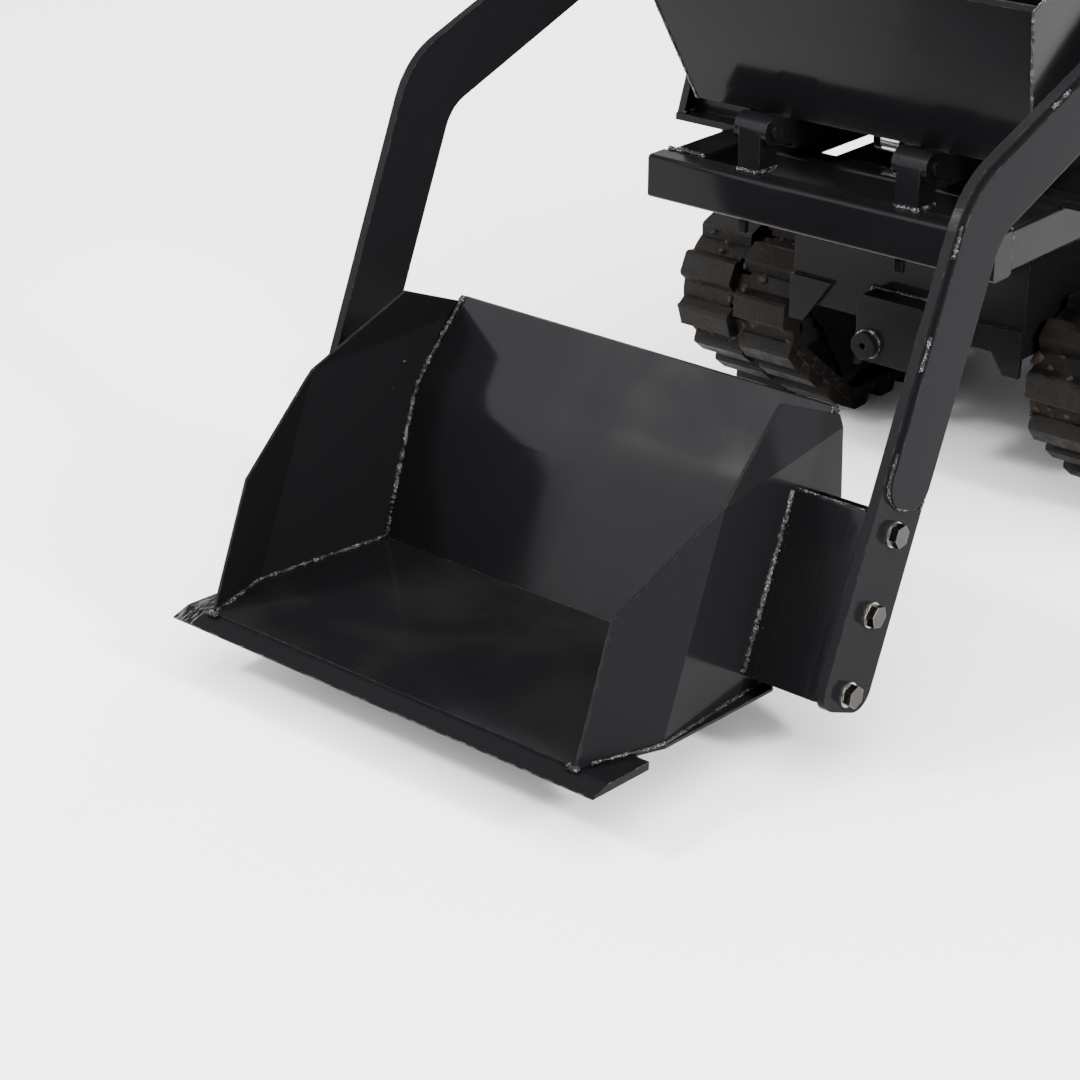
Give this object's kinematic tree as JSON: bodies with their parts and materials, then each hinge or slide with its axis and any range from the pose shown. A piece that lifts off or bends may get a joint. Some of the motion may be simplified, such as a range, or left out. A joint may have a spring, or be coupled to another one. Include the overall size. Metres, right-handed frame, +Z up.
{
  "type": "tracked power carrier",
  "caption": "Pedestrian tracked carrier with rubber tracks, tipping skip and a self-loading front bucket on bent lifting arms.",
  "frame": {"origin": "on the ground under the front track wheels, at the middle of the machine's length and width", "axes": "+Z up, -Y forward towards the bucket, +X towards the machine's left side"},
  "size_m": [0.868, 2.36, 1.0389],
  "materials": {
    "black_paint": "gloss",
    "zinc_steel": "worn zinc",
    "pin_steel": "satin",
    "chromed_rod": "polished",
    "track_rubber": "matt, muddy",
    "cast_wheel": "satin",
    "engine_metal": "cast",
    "exhaust_steel": "heat stained",
    "lever_steel": "satin",
    "cap_plastic": "matt"
  },
  "bodies": {
    "carrier": {"deck_frame": "black_paint", "chassis_frame": "black_paint", "cross_tubes": "black_paint", "hinge_uprights": "black_paint", "loader_posts": "black_paint", "loader_pins": "pin_steel", "lift_base_brackets": "black_paint", "track_left": "track_rubber", "track_right": "track_rubber", "track_frame_left": "black_paint", "track_frame_right": "black_paint", "idler_yokes": "black_paint", "drive_motors": "cast_wheel", "roller_axles": "pin_steel", "engine_hood": "black_paint", "engine_block": "engine_metal", "muffler": "exhaust_steel", "fuel_tank": "cap_plastic", "hydraulic_tank": "black_paint", "console": "black_paint", "handlebar": "black_paint"},
    "loader": {"cutting_edge": "black_paint", "bucket_shell": "black_paint", "bucket_side_left": "black_paint", "bucket_side_right": "black_paint", "bucket_bracket_left": "black_paint", "bucket_bracket_right": "black_paint", "arm_left": "black_paint", "arm_right": "black_paint", "arm_doublers": "black_paint", "arm_bolts": "zinc_steel"},
    "skip": {"skip_tub": "black_paint", "skip_rim": "black_paint", "skip_bearers": "black_paint"},
    "lift_barrel_left": {"lift_barrel_left": "black_paint"},
    "lift_barrel_right": {"lift_barrel_right": "black_paint"},
    "lift_rod_left": {"lift_rod_left": "chromed_rod"},
    "lift_rod_right": {"lift_rod_right": "chromed_rod"},
    "tip_barrel": {"tip_barrel": "black_paint"},
    "tip_rod": {"tip_rod": "chromed_rod"},
    "idler_left": {"idler_left": "cast_wheel"},
    "idler_right": {"idler_right": "cast_wheel"},
    "sprocket_left": {"sprocket_left": "cast_wheel"},
    "sprocket_right": {"sprocket_right": "cast_wheel"},
    "rollers_left_a": {"rollers_left_a": "cast_wheel"},
    "rollers_left_b": {"rollers_left_b": "cast_wheel"},
    "rollers_left_c": {"rollers_left_c": "cast_wheel"},
    "rollers_left_d": {"rollers_left_d": "cast_wheel"},
    "rollers_right_a": {"rollers_right_a": "cast_wheel"},
    "rollers_right_b": {"rollers_right_b": "cast_wheel"},
    "rollers_right_c": {"rollers_right_c": "cast_wheel"},
    "rollers_right_d": {"rollers_right_d": "cast_wheel"},
    "hood_lid": {"hood_lid": "black_paint"},
    "travel_lever_left": {"travel_lever_left": "lever_steel"},
    "travel_lever_right": {"travel_lever_right": "lever_steel"},
    "loader_lever": {"loader_lever": "lever_steel"},
    "skip_lever": {"skip_lever": "lever_steel"},
    "throttle_lever": {"throttle_lever": "lever_steel"},
    "fuel_cap": {"fuel_cap": "cap_plastic"}
  },
  "joints": [
    {"name": "loader_lift", "type": "hinge", "parent": "carrier", "child": "loader", "pos_m": [0, -0.0294, 0.832], "axis": [-1, 0, 0], "range_deg": [-4, 112]},
    {"name": "lift_barrel_left_swing", "type": "hinge", "parent": "carrier", "child": "lift_barrel_left", "pos_m": [0.38, 0.46209, 0.48785], "axis": [-1, 0, 0], "range_deg": [-0.26, 1.75]},
    {"name": "lift_rod_left_stroke", "type": "slide", "parent": "lift_barrel_left", "child": "lift_rod_left", "axis": [0, -0.9067, 0.4217], "range_m": [-0.0111, 0.2824]},
    {"name": "lift_barrel_right_swing", "type": "hinge", "parent": "carrier", "child": "lift_barrel_right", "pos_m": [-0.38, 0.46209, 0.48785], "axis": [-1, 0, 0], "range_deg": [-0.26, 1.75]},
    {"name": "lift_rod_right_stroke", "type": "slide", "parent": "lift_barrel_right", "child": "lift_rod_right", "axis": [0, -0.9067, 0.4217], "range_m": [-0.0111, 0.2824]},
    {"name": "skip_tip", "type": "hinge", "parent": "carrier", "child": "skip", "pos_m": [0, -0.295, 0.54], "axis": [1, 0, 0], "range_deg": [0, 70]},
    {"name": "tip_barrel_swing", "type": "hinge", "parent": "carrier", "child": "tip_barrel", "pos_m": [0, 0.22, 0.325], "axis": [-1, 0, 0], "range_deg": [0, 10.51]},
    {"name": "tip_rod_stroke", "type": "slide", "parent": "tip_barrel", "child": "tip_rod", "axis": [0, -0.8876, 0.4606], "range_m": [0, 0.1453]},
    {"name": "sprocket_left_spin", "type": "hinge", "parent": "carrier", "child": "sprocket_left", "pos_m": [0.298, 0.79, 0.165], "axis": [1, 0, 0], "continuous": true},
    {"name": "idler_left_spin", "type": "hinge", "parent": "carrier", "child": "idler_left", "pos_m": [0.298, 0, 0.195], "axis": [1, 0, 0], "continuous": true},
    {"name": "roller_left_a_spin", "type": "hinge", "parent": "carrier", "child": "rollers_left_a", "pos_m": [0.298, 0.095, 0.081], "axis": [1, 0, 0], "continuous": true},
    {"name": "roller_left_b_spin", "type": "hinge", "parent": "carrier", "child": "rollers_left_b", "pos_m": [0.298, 0.28, 0.081], "axis": [1, 0, 0], "continuous": true},
    {"name": "roller_left_c_spin", "type": "hinge", "parent": "carrier", "child": "rollers_left_c", "pos_m": [0.298, 0.465, 0.081], "axis": [1, 0, 0], "continuous": true},
    {"name": "roller_left_d_spin", "type": "hinge", "parent": "carrier", "child": "rollers_left_d", "pos_m": [0.298, 0.65, 0.081], "axis": [1, 0, 0], "continuous": true},
    {"name": "sprocket_right_spin", "type": "hinge", "parent": "carrier", "child": "sprocket_right", "pos_m": [-0.298, 0.79, 0.165], "axis": [1, 0, 0], "continuous": true},
    {"name": "idler_right_spin", "type": "hinge", "parent": "carrier", "child": "idler_right", "pos_m": [-0.298, 0, 0.195], "axis": [1, 0, 0], "continuous": true},
    {"name": "roller_right_a_spin", "type": "hinge", "parent": "carrier", "child": "rollers_right_a", "pos_m": [-0.298, 0.095, 0.081], "axis": [1, 0, 0], "continuous": true},
    {"name": "roller_right_b_spin", "type": "hinge", "parent": "carrier", "child": "rollers_right_b", "pos_m": [-0.298, 0.28, 0.081], "axis": [1, 0, 0], "continuous": true},
    {"name": "roller_right_c_spin", "type": "hinge", "parent": "carrier", "child": "rollers_right_c", "pos_m": [-0.298, 0.465, 0.081], "axis": [1, 0, 0], "continuous": true},
    {"name": "roller_right_d_spin", "type": "hinge", "parent": "carrier", "child": "rollers_right_d", "pos_m": [-0.298, 0.65, 0.081], "axis": [1, 0, 0], "continuous": true},
    {"name": "hood_lid_open", "type": "hinge", "parent": "carrier", "child": "hood_lid", "pos_m": [0, 0.885, 0.899], "axis": [-1, 0, 0], "range_deg": [0, 80]},
    {"name": "travel_lever_left_tilt", "type": "hinge", "parent": "carrier", "child": "travel_lever_left", "pos_m": [0.14, 0.949, 0.88], "axis": [1, 0, 0], "range_deg": [-15, 15], "stiffness_Nm_per_rad": 8},
    {"name": "travel_lever_right_tilt", "type": "hinge", "parent": "carrier", "child": "travel_lever_right", "pos_m": [-0.14, 0.949, 0.88], "axis": [1, 0, 0], "range_deg": [-15, 15], "stiffness_Nm_per_rad": 8},
    {"name": "loader_lever_tilt", "type": "hinge", "parent": "carrier", "child": "loader_lever", "pos_m": [0.06, 0.949, 0.88], "axis": [1, 0, 0], "range_deg": [-15, 15], "stiffness_Nm_per_rad": 8},
    {"name": "skip_lever_tilt", "type": "hinge", "parent": "carrier", "child": "skip_lever", "pos_m": [-0.06, 0.949, 0.88], "axis": [1, 0, 0], "range_deg": [-15, 15], "stiffness_Nm_per_rad": 8},
    {"name": "throttle_tilt", "type": "hinge", "parent": "carrier", "child": "throttle_lever", "pos_m": [0, 0.949, 0.88], "axis": [1, 0, 0], "range_deg": [-15, 15]},
    {"name": "fuel_cap_turn", "type": "hinge", "parent": "carrier", "child": "fuel_cap", "pos_m": [-0.06, 0.72, 0.845], "axis": [0, 0, 1], "range_deg": [0, 90]}
  ],
  "couplings": [
    {"joint": "lift_barrel_left_swing", "follows": "loader_lift", "ratio": 0.013827},
    {"joint": "lift_rod_left_stroke", "follows": "loader_lift", "m_per_rad": 0.14397},
    {"joint": "lift_barrel_right_swing", "follows": "loader_lift", "ratio": 0.013827},
    {"joint": "lift_rod_right_stroke", "follows": "loader_lift", "m_per_rad": 0.14397},
    {"joint": "tip_barrel_swing", "follows": "skip_tip", "ratio": 0.14722},
    {"joint": "tip_rod_stroke", "follows": "skip_tip", "m_per_rad": 0.1181},
    {"joint": "idler_left_spin", "follows": "sprocket_left_spin", "ratio": 1},
    {"joint": "roller_left_a_spin", "follows": "sprocket_left_spin", "ratio": 1.6444},
    {"joint": "roller_left_b_spin", "follows": "sprocket_left_spin", "ratio": 1.6444},
    {"joint": "roller_left_c_spin", "follows": "sprocket_left_spin", "ratio": 1.6444},
    {"joint": "roller_left_d_spin", "follows": "sprocket_left_spin", "ratio": 1.6444},
    {"joint": "idler_right_spin", "follows": "sprocket_right_spin", "ratio": 1},
    {"joint": "roller_right_a_spin", "follows": "sprocket_right_spin", "ratio": 1.6444},
    {"joint": "roller_right_b_spin", "follows": "sprocket_right_spin", "ratio": 1.6444},
    {"joint": "roller_right_c_spin", "follows": "sprocket_right_spin", "ratio": 1.6444},
    {"joint": "roller_right_d_spin", "follows": "sprocket_right_spin", "ratio": 1.6444}
  ]
}
